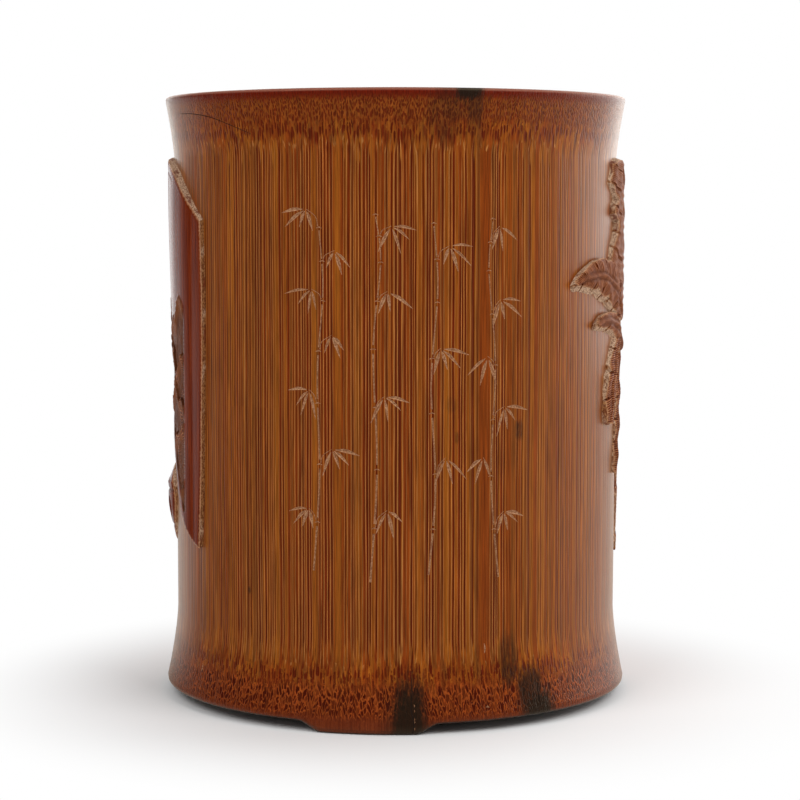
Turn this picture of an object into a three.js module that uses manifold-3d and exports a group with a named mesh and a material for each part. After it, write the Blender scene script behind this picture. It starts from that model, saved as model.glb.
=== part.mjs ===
// A brush pot cut from one thick bamboo culm, standing on three low feet, with a
// garden carved in relief round its sides. Millimetres, +Z up, the origin on the
// ground at the middle of the foot, and the plain front facing -Y. Places on the
// wall are given as an angle from the front, in degrees, positive to the right,
// and a height above the ground.
import * as THREE from "three";
import { mergeVertices } from "three/addons/utils/BufferGeometryUtils.js";
import Module from "manifold-3d";

const wasm = await Module();
wasm.setup();

// The culm: a straight ground between two flares that keep its full width.
const height = 150;
const groundRadius = 55.8;
const rimRise = 2.3;
const rimFlareHeight = 15.5;
const rimCurve = 1.35;
const footRise = 2.8;
const footFlareHeight = 22;
const footStraight = 3;
const footCurve = 1.5;
const boreRadius = 47;
const edgeRound = 1;
const wallSegments = 96;

// The three feet, left standing where the arches are cut out of the foot rim.
const footCount = 3;
const firstFootAngle = -6.5;
const archHeight = 2.5;
const footHalfAngle = 10.8;
const footShoulderAngle = 17;

// The disc that closes the tube, let in from below, and the lacquer that beds it.
const boardThickness = 6;
const boardUnderside = 8;
const boardRadius = 49.4;
const fitGap = 0.3;
const seamWidth = 2.4;
const seamHeight = 2;

// How far the carving stands out from the ground.
const screenRise = 1.4;
const leafRise = 1.8;
const stoolRise = 2.2;
const rockRise = 2.1;
const trunkRise = 1.7;
const tableRise = 1.5;
const vaseRise = 2.1;
const railRise = 1.2;

const degree = Math.PI / 180;
const millimetresPerDegree = groundRadius * degree;
const boardTop = boardUnderside + boardThickness;
const rebateRadius = boardRadius + fitGap;
const rebateTop = boardTop + fitGap;
const footRadius = groundRadius + footRise;

// Geometry to solid and back.
function solidOf(geometry) {
  const bare = geometry.clone();
  bare.deleteAttribute("normal");
  bare.deleteAttribute("uv");
  const merged = mergeVertices(bare, 1e-4);
  return new wasm.Manifold(new wasm.Mesh({
    numProp: 3,
    vertProperties: new Float32Array(merged.attributes.position.array),
    triVerts: new Uint32Array(merged.index.array),
  }));
}

function geometryOf(solid) {
  const mesh = solid.getMesh();
  const geometry = new THREE.BufferGeometry();
  geometry.setAttribute("position", new THREE.BufferAttribute(mesh.vertProperties, 3));
  geometry.setIndex(new THREE.BufferAttribute(mesh.triVerts, 1));
  geometry.computeVertexNormals();
  return geometry;
}

// A turned ring or disc. Its profile of [radius, height] points closes on itself,
// or starts and ends on the axis.
function turned(profile, segments) {
  const points = profile.map(([radius, z]) => new THREE.Vector2(radius, z));
  const geometry = new THREE.LatheGeometry(points, segments);
  geometry.rotateX(Math.PI / 2);
  return geometry;
}

function outerRadius(z) {
  const intoRim = Math.max(0, z - (height - rimFlareHeight)) / rimFlareHeight;
  const intoFoot = Math.max(0, footFlareHeight - z) / (footFlareHeight - footStraight);
  const rim = rimRise * intoRim ** rimCurve;
  const foot = footRise * Math.min(1, intoFoot) ** footCurve;
  return groundRadius + rim + foot;
}

function culmProfile() {
  const footSteps = 6;
  const rimSteps = 6;
  const outer = [
    [footRadius - edgeRound, 0],
    [footRadius - 0.3 * edgeRound, 0.4 * edgeRound],
    [footRadius, 1.5 * edgeRound],
  ];
  for (let step = 0; step <= footSteps; step += 1) {
    const z = footStraight + (footFlareHeight - footStraight) * step / footSteps;
    outer.push([outerRadius(z), z]);
  }
  const lipStart = height - 1.2 * edgeRound;
  for (let step = 0; step <= rimSteps; step += 1) {
    const z = height - rimFlareHeight + (lipStart - height + rimFlareHeight) * step / rimSteps;
    outer.push([outerRadius(z), z]);
  }
  const lipRadius = outerRadius(lipStart);
  outer.push([lipRadius - 0.1 * edgeRound, height - 0.4 * edgeRound]);
  outer.push([lipRadius - edgeRound, height]);
  const inner = [
    [boreRadius + 1.5 * edgeRound, height],
    [boreRadius + 0.4 * edgeRound, height - 0.4 * edgeRound],
    [boreRadius, height - 1.5 * edgeRound],
    [boreRadius, rebateTop],
    [rebateRadius, rebateTop],
    [rebateRadius, edgeRound],
    [rebateRadius + edgeRound, 0],
  ];
  return [...outer, ...inner, outer[0]];
}

// A block bent round the axis between two angles, with a top that follows a curve.
function bentBlock(fromAngle, toAngle, innerRadius, blockRadius, bottom, topAt) {
  const steps = 24;
  const corners = 4;
  const positions = [];
  const indices = [];
  for (let step = 0; step <= steps; step += 1) {
    const angle = fromAngle + (toAngle - fromAngle) * step / steps;
    const section = [
      [innerRadius, bottom],
      [blockRadius, bottom],
      [blockRadius, topAt(angle)],
      [innerRadius, topAt(angle)],
    ];
    for (const [radius, z] of section) {
      positions.push(radius * Math.sin(angle * degree), -radius * Math.cos(angle * degree), z);
    }
  }
  for (let step = 0; step < steps; step += 1) {
    for (let corner = 0; corner < corners; corner += 1) {
      const a = step * corners + corner;
      const b = step * corners + (corner + 1) % corners;
      indices.push(a, a + corners, b, b, a + corners, b + corners);
    }
  }
  const last = steps * corners;
  indices.push(0, 1, 2, 0, 2, 3);
  indices.push(last, last + 2, last + 1, last, last + 3, last + 2);
  const geometry = new THREE.BufferGeometry();
  geometry.setAttribute("position", new THREE.Float32BufferAttribute(positions, 3));
  geometry.setIndex(indices);
  return geometry;
}

// The arch between two feet rises from the ground in a short easy curve.
function archCut(foot) {
  const pitch = 360 / footCount;
  const start = firstFootAngle + foot * pitch + footHalfAngle;
  const end = start + pitch - 2 * footHalfAngle;
  const shoulder = footShoulderAngle - footHalfAngle;
  const clear = 5;
  const sliver = 0.01;
  const topAt = (angle) => {
    const inside = Math.min(angle - start, end - angle);
    return archHeight * THREE.MathUtils.smoothstep(inside, 0, shoulder) + sliver;
  };
  const block = bentBlock(start, end, boreRadius - clear, footRadius + clear, -1, topAt);
  return solidOf(block);
}

// A raised patch of carving. Its outline of [angle, height] points is drawn on the
// unrolled wall, pushed out square to the wall at its middle, and kept where it
// meets a ring that stands out from the ground by the patch's rise.
function raisedPatch([rise, outline]) {
  const angles = outline.map(([angle]) => angle);
  const middle = (Math.min(...angles) + Math.max(...angles)) / 2;
  const level = groundRadius + rise;
  const shape = new THREE.Shape(outline.map(([angle, z]) => {
    const across = level * Math.sin((angle - middle) * degree);
    return new THREE.Vector2(across, z);
  }));
  const inner = groundRadius * 0.4;
  const geometry = new THREE.ExtrudeGeometry(shape, {
    depth: groundRadius * 1.3 - inner,
    bevelEnabled: false,
  });
  geometry.rotateX(Math.PI / 2);
  geometry.translate(0, -inner, 0);
  geometry.rotateZ(middle * degree);
  const low = 30;
  const high = 140;
  const root = groundRadius - 2;
  const ring = turned([[root, low], [level, low], [level, high], [root, high], [root, low]],
    wallSegments);
  return solidOf(geometry).intersect(solidOf(ring));
}

// The outline of a leaf from its midrib, and its half width in millimetres at each
// point of the midrib.
function leafOutline(midrib, halfWidths) {
  const left = [];
  const right = [];
  midrib.forEach(([angle, z], index) => {
    const before = midrib[Math.max(0, index - 1)];
    const after = midrib[Math.min(midrib.length - 1, index + 1)];
    const along = (after[0] - before[0]) * millimetresPerDegree;
    const up = after[1] - before[1];
    const length = Math.hypot(along, up);
    const sideways = -up / length * halfWidths[index] / millimetresPerDegree;
    const upwards = along / length * halfWidths[index];
    left.push([angle + sideways, z + upwards]);
    right.push([angle - sideways, z - upwards]);
  });
  return [...left, ...right.reverse()];
}

function rectangle(fromAngle, toAngle, bottom, top) {
  return [[fromAngle, bottom], [toAngle, bottom], [toAngle, top], [fromAngle, top]];
}

// The folding screen on the left, drawn in perspective, in two leaves that meet
// at its own middle.
const screenMiddle = -80;
const screenFront = [
  [-57.2, 39.8], [-55.4, 70], [-55, 95], [-56, 119.4], [-65, 126.7], [-71, 131], [screenMiddle, 134.4],
  [screenMiddle, 66.5], [-74, 58.4], [-70.8, 52.4], [-64.3, 43.8], [-60, 40.4],
];
const screenBack = [
  [screenMiddle, 134.4], [-92, 136.2], [-104, 136.5], [-104, 82], [-92, 76.5], [screenMiddle, 66.5],
];

const barrelStool = [
  [-83.5, 38], [-80.5, 45], [-81, 52], [-84, 56], [-91, 57],
  [-98, 56], [-101, 52], [-101.5, 45], [-98.5, 38],
];

// The plantain on the right: a trunk and broad leaves, each a midrib with its half
// widths. The first hangs over the plain front.
const droopingLeaf = leafOutline(
  [[49, 104.2], [53, 105.6], [61, 106], [69, 104], [76, 100.5], [80, 96]],
  [0.4, 2, 4.3, 4.8, 4.5, 2],
);
const uprightLeaf = leafOutline(
  [[90, 96], [88, 106], [86, 117], [84, 128], [82, 135.5]],
  [5, 13, 14.5, 12.5, 8],
);
const smallLeaf = leafOutline([[59, 94.2], [64, 95], [72, 94.3], [80, 91], [84, 87]], [0.5, 1.8, 2.4, 2.6, 1]);
const hangingLeaf = leafOutline([[79, 91], [74, 86], [70, 80], [68.5, 74], [68, 69.5]], [2, 2.6, 3.6, 3.4, 2]);
const hangingTip = leafOutline([[84, 87], [83, 76], [79.5, 66], [75.5, 56.5]], [1.2, 2.2, 1.6, 0.4]);
const trunk = leafOutline([[101, 34], [99, 55], [96, 78], [93, 98]], [5.5, 5, 4.2, 3.6]);
const backLeaf = leafOutline(
  [[95, 96], [104, 112], [115, 121], [126, 120], [135, 111], [139, 102]],
  [2, 6, 8.5, 8, 5, 0.6],
);
const lowLeaf = leafOutline([[98, 74], [108, 84], [119, 86], [128, 79], [131, 71]], [1.5, 4.5, 6, 4, 0.5]);

// Behind: a scholar's rock, a low rail, and a table with a vase.
const gardenRock = [
  [141, 34], [138, 44], [143, 53], [140, 64], [148, 74], [147, 84], [155, 93], [164, 97],
  [171, 91], [172, 79], [179, 70], [176, 58], [182, 47], [179, 34],
];
const railTop = rectangle(184, 249, 55, 58);
const railFoot = rectangle(184, 249, 36, 38.5);
const railPosts = [187, 207, 227, 247].map((angle) => rectangle(angle - 1.6, angle + 1.6, 37, 61));
const tableTop = rectangle(204, 238, 84, 87);
const tableLegs = [207, 235].map((angle) => rectangle(angle - 1.5, angle + 1.5, 57, 85));
const vase = [
  [216.5, 86], [213.5, 92], [213.8, 98], [217.6, 104], [217.2, 109],
  [224.8, 109], [224.4, 104], [228.2, 98], [228.5, 92], [225.5, 86],
];

const carving = [
  [screenRise, screenFront], [screenRise, screenBack], [stoolRise, barrelStool],
  [leafRise, droopingLeaf], [leafRise, uprightLeaf], [leafRise, smallLeaf],
  [leafRise, hangingLeaf], [leafRise, hangingTip], [leafRise, backLeaf], [leafRise, lowLeaf],
  [trunkRise, trunk], [rockRise, gardenRock], [vaseRise, vase], [tableRise, tableTop],
  ...tableLegs.map((leg) => [tableRise, leg]),
  [railRise, railTop], [railRise, railFoot],
  ...railPosts.map((post) => [railRise, post]),
];

function culmWall() {
  let wall = solidOf(turned(culmProfile(), wallSegments));
  for (const patch of carving) {
    wall = wall.add(raisedPatch(patch));
  }
  for (let foot = 0; foot < footCount; foot += 1) {
    wall = wall.subtract(archCut(foot));
  }
  return geometryOf(wall);
}

function floorBoard() {
  const edge = 0.5;
  return turned([
    [0, boardUnderside],
    [boardRadius - edge, boardUnderside],
    [boardRadius, boardUnderside + edge],
    [boardRadius, boardTop],
    [0, boardTop],
  ], wallSegments);
}

function floorSeam() {
  const top = boardUnderside - fitGap;
  return turned([
    [boardRadius, top],
    [boardRadius - seamWidth, top],
    [boardRadius - 0.4 * seamWidth, top - 0.5 * seamHeight],
    [boardRadius, top - seamHeight],
    [boardRadius, top],
  ], wallSegments);
}

function piece(name, geometry, color, roughness) {
  const material = new THREE.MeshStandardMaterial({ color, roughness, metalness: 0 });
  const mesh = new THREE.Mesh(geometry, material);
  mesh.name = name;
  return mesh;
}

const brushPot = new THREE.Group();
brushPot.add(piece("culm_wall", culmWall(), 0x8a4a1e, 0.4));
brushPot.add(piece("floor_board", floorBoard(), 0x6b3a1a, 0.55));
brushPot.add(piece("floor_seam", floorSeam(), 0x2a120a, 0.35));

export default brushPot;
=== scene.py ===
# A carved bamboo brush pot on a pale studio floor. Metres in Blender, millimetres
# in the measures here. +Z is up and the plain front faces -Y. A place on the wall
# is an angle from the front, in degrees and positive to the right, and a height.
import math

import bmesh
import bpy
import numpy as np
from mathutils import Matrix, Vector
from mathutils.geometry import delaunay_2d_cdt


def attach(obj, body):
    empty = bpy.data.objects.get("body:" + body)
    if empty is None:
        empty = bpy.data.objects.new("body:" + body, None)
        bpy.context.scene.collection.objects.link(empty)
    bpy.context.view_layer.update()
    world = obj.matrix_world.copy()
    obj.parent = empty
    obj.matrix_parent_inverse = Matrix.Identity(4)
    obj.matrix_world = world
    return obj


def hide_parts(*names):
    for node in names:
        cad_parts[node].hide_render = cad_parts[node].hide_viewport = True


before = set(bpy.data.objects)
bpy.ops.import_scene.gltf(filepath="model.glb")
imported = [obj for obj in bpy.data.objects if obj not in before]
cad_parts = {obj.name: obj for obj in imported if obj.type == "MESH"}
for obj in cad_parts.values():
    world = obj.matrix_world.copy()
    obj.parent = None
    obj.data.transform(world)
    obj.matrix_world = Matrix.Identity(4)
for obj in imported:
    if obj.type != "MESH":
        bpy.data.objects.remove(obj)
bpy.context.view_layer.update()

MM = 0.001
METRE = 1000.0

# The culm: a straight ground between two flares, as in the solid.
HEIGHT = 150.0
GROUND = 55.8
RIM_RISE = 2.3
RIM_FLARE = 15.5
RIM_CURVE = 1.35
FOOT_RISE = 2.8
FOOT_FLARE = 22.0
FOOT_STRAIGHT = 3.0
FOOT_CURVE = 1.5
BORE = 47.0
EDGE_ROUND = 1.0
REBATE = 49.7
REBATE_TOP = 14.3
MIDDLE = HEIGHT / 2.0
COLUMNS = 288

# The feet and the arches between them.
FOOT_ANGLES = (-6.5, 113.5, 233.5)
ARCH_HEIGHT = 2.5
FOOT_HALF_ANGLE = 10.8
FOOT_SHOULDER = 17.0

# The carving: how far each thing stands out, and how deep its solid is rooted.
ROOT = 54.0
SCREEN_RISE = 1.4
LEAF_RISE = 1.8
STOOL_RISE = 2.2
ROCK_RISE = 2.1
TRUNK_RISE = 1.7
TABLE_RISE = 1.5
VASE_RISE = 2.1
RAIL_RISE = 1.2
SLAT_RISE = RAIL_RISE - 0.4
TWIG_RISE = 0.9
BUD_RISE = 1.1

# The edges of the carving: worn down by so much over a width, paler over another (partly rubbed,
# and partly a painted highlight), and with sides that meet the ground a little below it.
EDGE_WEAR = 0.16
WORN_WIDTH = 0.4
PALE_WIDTH = 0.3
SUNK = 0.12

# How far apart fine veins run, folds and ripples of a leaf, splits between its strips, and
# the rings of the trunk. A tear's width is a share of its leaf's length.
VEIN_PITCH = 0.55
FOLD_PITCH = 2.6
RIPPLE_PITCH = 8.5
SPLIT_PITCH = 6.1
TEAR_WIDTH = 0.022
SHEATH_PITCH = 13.0

MM_PER_DEGREE = GROUND * math.pi / 180.0

# The studio: the camera with how far it looks down, where the white backdrop hangs, how
# bright the room is as a light, and how far the floor reaches, in metres.
LENS = 101.39
CAMERA_PLACE = (0.00114, -0.5748, 0.1226)
CAMERA_DIP = 4.88
BACKDROP_DIRECTION = (0.40, 0.9165, 0.0)
WORLD_LIGHT = 0.35
FLOOR_REACH = 4.0
WHITE = (1.0, 1.0, 1.0, 1.0)


# Small helpers for shapes.

def smooth(x, low, high):
    t = np.clip((x - low) / (high - low), 0.0, 1.0)
    return t * t * (3.0 - 2.0 * t)


def bell(x, width):
    return np.exp(-(x / width) ** 2)


def half_round(x):
    return np.sqrt(np.maximum(0.0, 1.0 - x ** 2))


def value_noise(u, z, size, seed):
    """Smooth noise between 0 and 1 over the unrolled wall, with features of a size in mm."""
    gu, gz = np.asarray(u) / size, np.asarray(z) / size
    iu, iz = np.floor(gu), np.floor(gz)
    fu, fz = smooth(gu - iu, 0.0, 1.0), smooth(gz - iz, 0.0, 1.0)

    def corner(du, dz):
        wave = np.sin((iu + du) * 127.1 + (iz + dz) * 311.7 + seed * 74.7) * 43758.5453
        return wave - np.floor(wave)

    low = corner(0, 0) * (1 - fu) + corner(1, 0) * fu
    high = corner(0, 1) * (1 - fu) + corner(1, 1) * fu
    return low * (1 - fz) + high * fz


def ground_radius(angle, z):
    """The scraped ground of the culm with its flares, a little uneven from the knife."""
    into_rim = np.maximum(0.0, z - (HEIGHT - RIM_FLARE)) / RIM_FLARE
    into_foot = np.clip((FOOT_FLARE - z) / (FOOT_FLARE - FOOT_STRAIGHT), 0.0, 1.0)
    turn = np.radians(angle)
    uneven = 0.05 * np.sin(3.0 * turn + 0.7) * np.sin(z / 17.0 + 1.0)
    uneven = uneven + 0.035 * np.sin(7.0 * turn + z / 11.0)
    return GROUND + RIM_RISE * into_rim ** RIM_CURVE + FOOT_RISE * into_foot ** FOOT_CURVE + uneven


def arch_bottom(angle):
    """How far the foot rim is cut up from the ground at an angle."""
    nearest = np.full(np.shape(angle), 1e9)
    for foot in FOOT_ANGLES:
        nearest = np.minimum(nearest, np.abs((angle - foot + 180.0) % 360.0 - 180.0))
    return ARCH_HEIGHT * smooth(nearest, FOOT_HALF_ANGLE, FOOT_SHOULDER)


def on_wall(radius, angle, z):
    """Points in metres at a radius, an angle and a height."""
    turn = np.radians(angle)
    return np.stack([radius * np.sin(turn), -radius * np.cos(turn), z + 0.0 * radius], axis=-1) * MM


def make_object(name, points, faces, materials, indices=None, carving=None):
    mesh = bpy.data.meshes.new(name)
    mesh.from_pydata([tuple(point) for point in np.asarray(points).tolist()], [], faces)
    for material in materials:
        mesh.materials.append(material)
    if indices is not None:
        mesh.polygons.foreach_set("material_index", indices)
    if carving is not None:
        attribute = mesh.attributes.new("carving", "FLOAT_VECTOR", "POINT")
        attribute.data.foreach_set("vector", np.asarray(carving, np.float32).ravel())
    mesh.update()
    piece = bpy.data.objects.new(name, mesh)
    bpy.context.scene.collection.objects.link(piece)
    return piece


def combine(base, other, operation):
    """Joins or cuts one closed mesh with another, and deletes the other."""
    step = base.modifiers.new("combine", "BOOLEAN")
    step.operation = operation
    step.object = other
    step.solver = "MANIFOLD"
    step.material_mode = "TRANSFER"
    depsgraph = bpy.context.evaluated_depsgraph_get()
    mesh = bpy.data.meshes.new_from_object(base.evaluated_get(depsgraph), depsgraph=depsgraph)
    base.modifiers.remove(step)
    old = base.data
    base.data = mesh
    bpy.data.meshes.remove(old)
    bpy.data.meshes.remove(other.data)


def as_one(pieces, materials):
    """Gathers pieces that don't touch into the first of them, and gives it the materials."""
    gathered = bmesh.new()
    for piece in pieces:
        gathered.from_mesh(piece.data)
    gathered.to_mesh(pieces[0].data)
    gathered.free()
    for piece in pieces[1:]:
        bpy.data.meshes.remove(piece.data)
    for material in materials:
        pieces[0].data.materials.append(material)
    return pieces[0]


# The culm before it is carved.

def outside_rows():
    """How far each row lies off the ground's radius, and its height, up the outside to the top."""
    rows = [(-EDGE_ROUND, 0.0), (-0.55 * EDGE_ROUND, 0.12), (-0.25 * EDGE_ROUND, 0.45), (0.0, 1.2)]
    rows += [(0.0, z) for z in np.linspace(2.0, FOOT_FLARE, 28)]
    rows += [(0.0, z) for z in np.linspace(FOOT_FLARE, HEIGHT - RIM_FLARE, 26)[1:]]
    rows += [(0.0, z) for z in np.linspace(HEIGHT - RIM_FLARE, HEIGHT - 1.2, 22)[1:]]
    return rows + [(-0.08, HEIGHT - 0.65), (-0.3, HEIGHT - 0.25), (-0.65, HEIGHT - 0.05), (-1.1, HEIGHT)]


def culm_blank(materials):
    """The wall, from the foot up the outside, over the lip, down the bore and through the rebate."""
    angle = np.linspace(-180.0, 180.0, COLUMNS, endpoint=False)[None, :]
    bottom = arch_bottom(angle)
    rows = []
    for offset, height in outside_rows():
        z = bottom + height * (HEIGHT - bottom) / HEIGHT
        rows.append((ground_radius(angle, z) + offset, z))
    for outward, below in ((3.5, 0.0), (1.4, 0.05), (0.6, 0.35), (0.15, 0.9), (0.0, 1.8)):
        rows.append((BORE + outward, HEIGHT - below))
    for z in np.linspace(HEIGHT - 5.0, REBATE_TOP, 12):
        rows.append((BORE + 0.12 * np.sin(np.radians(angle) * 5.0 + z / 23.0), z))
    rows.append((REBATE, REBATE_TOP))
    rows.append((REBATE, EDGE_ROUND + bottom))
    rows.append((REBATE + 0.4 * EDGE_ROUND, 0.3 * EDGE_ROUND + bottom))
    rows.append((REBATE + EDGE_ROUND, bottom))
    level = 0.0 * angle
    rings = [on_wall(radius + level, angle, z + level) for radius, z in rows]
    faces = []
    for row in range(len(rows)):
        here, above = row * COLUMNS, (row + 1) % len(rows) * COLUMNS
        for column in range(COLUMNS):
            after = (column + 1) % COLUMNS
            faces.append((here + column, here + after, above + after, above + column))
    return make_object("bamboo_culm", np.concatenate(rings).reshape(-1, 3), faces, materials)


# Relief: closed solids with a modelled face, rooted in the wall.

def on_angles(edge):
    """An edge in (mm round the wall, height) as a list of (angle, height)."""
    return [(u / MM_PER_DEGREE, z) for u, z in edge.tolist()]


def resample(outline, spacing):
    """A closed outline with points no further apart than the spacing, and none quite in line."""
    points = []
    for start, end in zip(outline, outline[1:] + outline[:1]):
        steps = max(1, int(math.ceil(math.dist(start, end) / spacing)))
        for step in range(steps):
            points.append([a + (b - a) * (step / steps) for a, b in zip(start, end)])
    return np.array(points) + np.random.default_rng(3).uniform(-0.006, 0.006, (len(points), 2))


def rounded(outline, repeats=2):
    """Cuts the corners of a closed outline, so that its stretches run on smoothly."""
    for _ in range(repeats):
        cut = []
        for start, end in zip(outline, outline[1:] + outline[:1]):
            for near in (0.75, 0.25):
                cut.append(tuple(near * a + (1.0 - near) * b for a, b in zip(start, end)))
        outline = cut
    return outline


def depth_inside(points, outline):
    """How far each point lies inside a closed outline, negative outside."""
    u, z = points[:, 0], points[:, 1]
    inside = np.zeros(len(points), bool)
    nearest = np.full(len(points), 1e9)
    for (au, az), (bu, bz) in zip(outline, np.roll(outline, -1, axis=0)):
        du, dz = bu - au, bz - az
        if az != bz:
            crosses = (az > z) != (bz > z)
            inside ^= crosses & (u < au + (z - az) * du / dz)
        length = du * du + dz * dz
        share = np.clip(((u - au) * du + (z - az) * dz) / length, 0.0, 1.0)
        nearest = np.minimum(nearest, np.hypot(u - au - share * du, z - az - share * dz))
    return np.where(inside, nearest, -nearest)


def runs_left(edge):
    """Whether a closed outline turns to the left, seen from outside the wall."""
    after = np.roll(edge, -1, axis=0)
    return (edge[:, 0] * after[:, 1] - after[:, 0] * edge[:, 1]).sum() > 0.0


def outward_normals(edge):
    """Unit vectors out of a closed outline at its points."""
    along = np.roll(edge, -1, axis=0) - np.roll(edge, 1, axis=0)
    along /= np.linalg.norm(along, axis=1)[:, None]
    return np.stack([along[:, 1], -along[:, 0]], axis=1) * (1.0 if runs_left(edge) else -1.0)


def triangulate(edge, inner):
    """Triangles over a closed outline and the points inside it, all seen from outside the wall."""
    points = np.concatenate([edge, inner])
    flat = [Vector(point) for point in points.tolist()]
    _, _, triangles, given, *_ = delaunay_2d_cdt(flat, [], [list(range(len(edge)))], 1, 1e-5, True)
    triangles = np.array([[given[corner][0] for corner in triangle] for triangle in triangles])
    corners = points[triangles]
    triangles = triangles[depth_inside(corners.mean(axis=1), edge) > 0.0]
    corners = points[triangles]
    to_b, to_c = corners[:, 1] - corners[:, 0], corners[:, 2] - corners[:, 0]
    right_turn = to_b[:, 0] * to_c[:, 1] < to_b[:, 1] * to_c[:, 0]
    triangles[right_turn] = triangles[right_turn][:, ::-1]
    return points, [tuple(triangle) for triangle in triangles.tolist()]


def relief(name, outline, rise, detail=None, spacing=0.5, flare=0.35, drop=0.0):
    """A solid that stands out from the wall by its rise, inside an outline of (angle, height).

    detail gives, at points of (mm round the wall, height, depth inside), a height to add,
    a coordinate that runs across the fine lines, and how much patina lies there. The cut
    sides spread by the flare, and slope down by the drop."""
    edge = resample([(angle * MM_PER_DEGREE, z) for angle, z in outline], spacing)
    low, high = edge.min(axis=0), edge.max(axis=0)
    us, zs = np.meshgrid(np.arange(low[0], high[0], spacing), np.arange(low[1], high[1], spacing * 0.87))
    us = us + (np.arange(us.shape[0]) % 2)[:, None] * spacing / 2.0
    inner = np.stack([us.ravel(), zs.ravel()], axis=1)
    inner = inner[depth_inside(inner, edge) > 0.5 * spacing]
    points, triangles = triangulate(edge, inner)
    rim = len(edge)
    u, z = points[:, 0], points[:, 1]
    depth = np.maximum(0.0, depth_inside(points, edge))
    depth[:rim] = 0.0
    height = rise - EDGE_WEAR * (1.0 - smooth(depth, 0.0, WORN_WIDTH))
    added, lines, patina = detail(u, z, depth) if detail else (0.0, 0.0, 0.0)
    height = np.maximum(height + added, -0.3)
    # The pale band along the edges is partly rubbed skin and partly a painted highlight.
    wear_and_glint = 1.0 - smooth(depth, 0.0, PALE_WIDTH)
    rings = [on_wall(ground_radius(u / MM_PER_DEGREE, z) + height, u / MM_PER_DEGREE, z)]
    carving = [np.stack([lines + 0.0 * u, 1.0 + wear_and_glint, patina + 0.0 * u], axis=1)]
    normals = outward_normals(edge)
    ragged = value_noise(edge[:, 0], edge[:, 1], 0.9, 21) - 0.5
    # The sides: half way down, just below the ground, and at the root inside the wall.
    for share in (0.45, 1.0, 1.0):
        spread = flare * share + (0.35 * ragged if share < 1.0 else 0.0 * ragged)
        side = points[:rim] + normals * spread[:, None]
        side[:, 1] -= drop * share
        side_angle = side[:, 0] / MM_PER_DEGREE
        ground = ground_radius(side_angle, side[:, 1])
        radius = (ground + 0.55 * height[:rim], ground - SUNK, ROOT + 0.0 * ground)[len(rings) - 1]
        rings.append(on_wall(radius, side_angle, side[:, 1]))
        carving.append(np.tile((0.0, 1.0, 0.0), (rim, 1)))
    faces = list(triangles)
    starts = [0] + [len(points) + rim * ring for ring in range(3)]
    order = [(i, (i + 1) % rim) for i in range(rim)]
    if not runs_left(edge):
        order = [(b, a) for a, b in order]
    for upper, lower in zip(starts, starts[1:]):
        for a, b in order:
            faces.append((upper + b, upper + a, lower + a, lower + b))
    _, back = triangulate(edge, np.zeros((0, 2)))
    for a, b, c in back:
        faces.append((starts[3] + c, starts[3] + b, starts[3] + a))
    indices = [0] * len(triangles) + [1] * (len(faces) - len(triangles))
    return make_object(name, np.concatenate(rings), faces, (), indices, np.concatenate(carving))


def curve_through(points, steps):
    """A smooth open curve through the points, as an array."""
    points = np.array(points, float)
    padded = np.concatenate([[2 * points[0] - points[1]], points, [2 * points[-1] - points[-2]]])
    out = []
    for a, b, c, d in zip(padded, padded[1:], padded[2:], padded[3:]):
        for share in np.linspace(0.0, 1.0, steps, endpoint=False):
            square, cube = share * share, share ** 3
            out.append(0.5 * (2 * b + (c - a) * share + (2 * a - 5 * b + 4 * c - d) * square
                              + (3 * b - a - 3 * c + d) * cube))
    out.append(points[-1])
    return np.array(out)


def wide_curve(line, widths, steps=8, least=0.25):
    """A curve through places on the wall: mm round the wall, height, and the width there."""
    rows = [(angle * MM_PER_DEGREE, z, width) for (angle, z), width in zip(line, widths)]
    curve = curve_through(rows, steps)
    curve[:, 2] = np.maximum(curve[:, 2], least)
    return curve


def directions(curve):
    """Unit vectors along a curve, and across it to its left."""
    along = np.gradient(curve[:, :2], axis=0)
    along /= np.linalg.norm(along, axis=1)[:, None]
    return along, np.stack([-along[:, 1], along[:, 0]], axis=1)


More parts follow.
